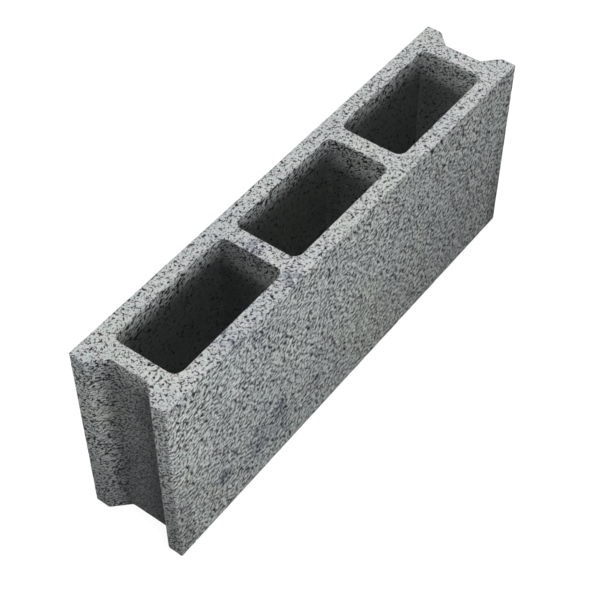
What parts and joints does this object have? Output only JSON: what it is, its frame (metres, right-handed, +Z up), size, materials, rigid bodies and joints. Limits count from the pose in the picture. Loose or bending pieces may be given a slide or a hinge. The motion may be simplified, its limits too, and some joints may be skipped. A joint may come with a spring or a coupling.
{
  "type": "hollow concrete block",
  "caption": "Hollow concrete masonry block with tapered through cores in a row and a keyed mortar groove down each end, for laying in mortared walls.",
  "frame": {"origin": "middle of the bottom bed face, on the level that the block stands on", "axes": "+X along the length, +Y across the thickness, +Z up through the cores to the bed face where the walls are thinnest"},
  "size_m": [0.5, 0.097, 0.2],
  "materials": {
    "concrete": "matte"
  },
  "bodies": {
    "root": {"block": "concrete"}
  },
  "joints": []
}
